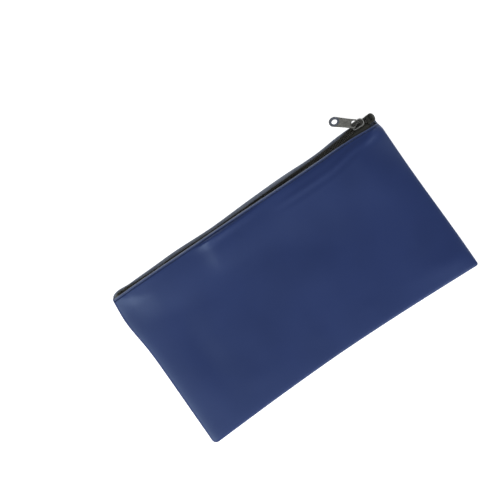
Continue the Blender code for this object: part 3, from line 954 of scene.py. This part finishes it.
def slider():
    plan = slider_plan()
    top = slab("slider_top", [plan], 1.45, 2.3, [GUNMETAL], 0.3)
    # a ring of the lighter metal round the top plate: a painted highlight on the slider's rim
    rim = slab("slider_rim", [slider_plan(-0.05), slider_plan(-0.75)], 1.9, 2.5, [EDGE_HIGHLIGHT], 0.2)
    bottom = slab("slider_bottom", [plan], -2.5, -1.6, [GUNMETAL], 0.35)
    parts = [top, rim, bottom]
    for side in (-1, 1):
        rail = [(x, side * y) for x, y in ((-6.0, 2.5), (-5.5, 3.4), (-4.4, 3.95), (0.5, 4.05),
                                            (2.4, 4.25), (4.4, 3.8), (5.2, 3.1), (4.6, 3.0),
                                            (2.4, 3.6), (-4.2, 3.55), (-5.2, 2.6))]
        if side < 0:
            rail.reverse()
        parts.append(slab("rail", [rail], -0.65, 1.7, METALS, 0.1, 2))
    wedge = [(1.4, 0), (2.4, 0.5), (4.6, 0.62), (5.6, 0.3), (5.6, -0.3), (4.6, -0.62), (2.4, -0.5)]
    parts.append(slab("wedge", [wedge], -2.0, 1.9, [GUNMETAL], 0.05, 1))
    place(joined("slider_body_look", parts), SLIDER, "slider", "gunmetal", "slider_body")

    crown_x, low, high = -1.0, 2.4, 5.6
    outer = arc(0, 0, 1, 0, 180, 19, 0.6)
    rim = [(2.8 * a, high - 1.4 + 1.4 * b) for a, b in outer]
    tunnel = [(2.15 * a, high - 1.95 + 1.35 * b) for a, b in outer]
    outline = [(3.5, low), (3.5, low + 0.35), (2.8, low + 0.6), *rim, (-2.8, low + 0.6),
               (-3.5, low + 0.35), (-3.5, low), (-2.15, low), *reversed(tunnel), (2.15, low)]
    crown = slab("slider_crown_look", [outline], -1.05, 1.05, METALS, 0.32)
    stand(crown, crown_x)
    place(crown, SLIDER, "slider", "gunmetal", "slider_crown")

    leaf = [(-1.8, 2.5), (1.8, 2.5), (1.75, 2.75), (0.7, 3.0), (-0.7, 3.0), (-1.75, 2.75)]
    spring = slab("pawl_spring_look", [leaf], -0.55, 0.55, [STEEL], 0.08, 2)
    stand(spring, crown_x)
    place(spring, SLIDER, "slider", "spring_steel", "pawl_spring")


def pull_tab():
    """The pull: a crossbar, a slot, three low ribs on a raised plate, and a ring with a lip."""
    axis = Vector(PULL["axis"]).normalized()
    heading = Vector((-math.cos(HEADING) * math.cos(DROOP), math.sin(HEADING) * math.cos(DROOP),
                      -math.sin(DROOP)))
    heading = (heading - heading.dot(axis) * axis).normalized()
    up = axis.cross(heading)
    where = Matrix((axis, heading, up)).transposed().to_4x4()
    where.translation = Vector(PULL["pos_m"])

    length, half, bar = 25.0, 4.9, 0.4  # bar is half the crossbar's thickness
    outline = [*arc(half - 1.9, 1.4 - bar, 1.4, -90, 0, 6), (half - 0.5, 5.0), (half - 0.5, 9.5),
               (half - 0.3, 13.5), *arc(0, length - half, half, 0, 180, 33),
               (0.3 - half, 13.5), (0.5 - half, 9.5), (0.5 - half, 5.0),
               *arc(1.9 - half, 1.4 - bar, 1.4, 180, 270, 6)]
    middle = length - half - 0.2
    whole = (0, 352.5, 48)
    ring = arc(0, middle, 2.6, *whole)
    slot = [*arc(2.25, 1.4, 1.0, -90, 0, 6), *arc(1.85, 3.0, 1.4, 0, 90, 8),
            *arc(-1.85, 3.0, 1.4, 90, 180, 8), *arc(-2.25, 1.4, 1.0, 180, 270, 6)]
    parts = [slab("tab_core", [outline, ring, slot], -0.42, 0.42, TAB_METALS, 0.28)]
    lip = arc(0, middle, 4.45, *whole)
    parts.append(slab("tab_lip", [lip, ring], -0.60, 0.60, [BLUE_REFLECTION_METAL], 0.25))
    plate = [(-3.6, 6.6), (3.6, 6.6), (3.8, 14.2), (2.6, 15.4), (0, 15.9), (-2.6, 15.4), (-3.8, 14.2)]
    parts.append(slab("tab_plate", [plate], -0.50, 0.50, [TAB_METAL], 0.2))
    for across in (-2.0, 0.0, 2.0):
        rib = [(across - 0.45, 7.4), (across + 0.45, 7.4), (across + 0.45, 14.0),
               (across - 0.45, 14.0)]
        parts.append(slab("tab_rib", [rib], -0.56, 0.56, [TAB_METAL], 0.2))
    place(joined("pull_tab_look", parts), where, "pull", "gunmetal", "pull_tab")


slider()
pull_tab()


# Floor, light and camera ------------------------------------------------------------------------

def floor():
    s = Shader("floor_look", 0.9, Specular_IOR_Level=0.1, Emission_Color=(1, 1, 1, 1),
               Emission_Strength=0.8)
    mottle = s.ramp(s.texture("Noise", 9, Detail=3.0), (0.92, 0.92, 0.92), (0.945, 0.945, 0.945))
    s.set("Base Color", mottle)
    size, z = 6000.0, -0.02
    obj = make("floor", [(-size, -size, z), (size, -size, z), (size, size, z), (-size, size, z)],
               [(0, 1, 2, 3)], [s.mat])


def area_light(name, place_m, size, power):
    """A rectangular light in metres and watts, aimed at the origin."""
    light = bpy.data.lights.new(name, "AREA")
    light.shape = "RECTANGLE"
    light.size, light.size_y = size
    light.energy = power
    obj = add(name, light)
    obj.location = place_m
    obj.rotation_euler = (-Vector(place_m)).to_track_quat("-Z", "Y").to_euler()


def lights():
    area_light("key", (-1.05, -0.5, 1.25), (1.0, 1.0), 18.2)
    area_light("fill", (0.35, -1.35, 0.75), (1.2, 0.8), 8.7)
    area_light("side", (1.3, 0.2, 0.9), (0.8, 0.8), 2.8)
    area_light("back", (0.1, 1.35, 0.8), (0.9, 0.7), 1.3)
    world = bpy.data.worlds.new("studio")
    bpy.context.scene.world = world
    world.use_nodes = True
    background = world.node_tree.nodes["Background"]
    background.inputs["Color"].default_value = (0.94, 0.96, 1.0, 1)
    background.inputs["Strength"].default_value = 0.12


def camera():
    """Looks straight down, on a view that is width metres wide at the front panel's level."""
    cam = bpy.data.cameras.new("camera")
    cam.sensor_width = 36
    height, width, level = 2.0, 0.4374, 0.005
    cam.lens = cam.sensor_width * (height - level) / width
    obj = add("camera", cam)
    obj.location = (-0.0181, 0.0456, height)
    obj.rotation_euler = (0, 0, math.radians(-34.3))
    bpy.context.scene.camera = obj


floor()
lights()
camera()
bpy.context.scene.view_settings.view_transform = "Standard"
bpy.context.scene.view_settings.look = "None"
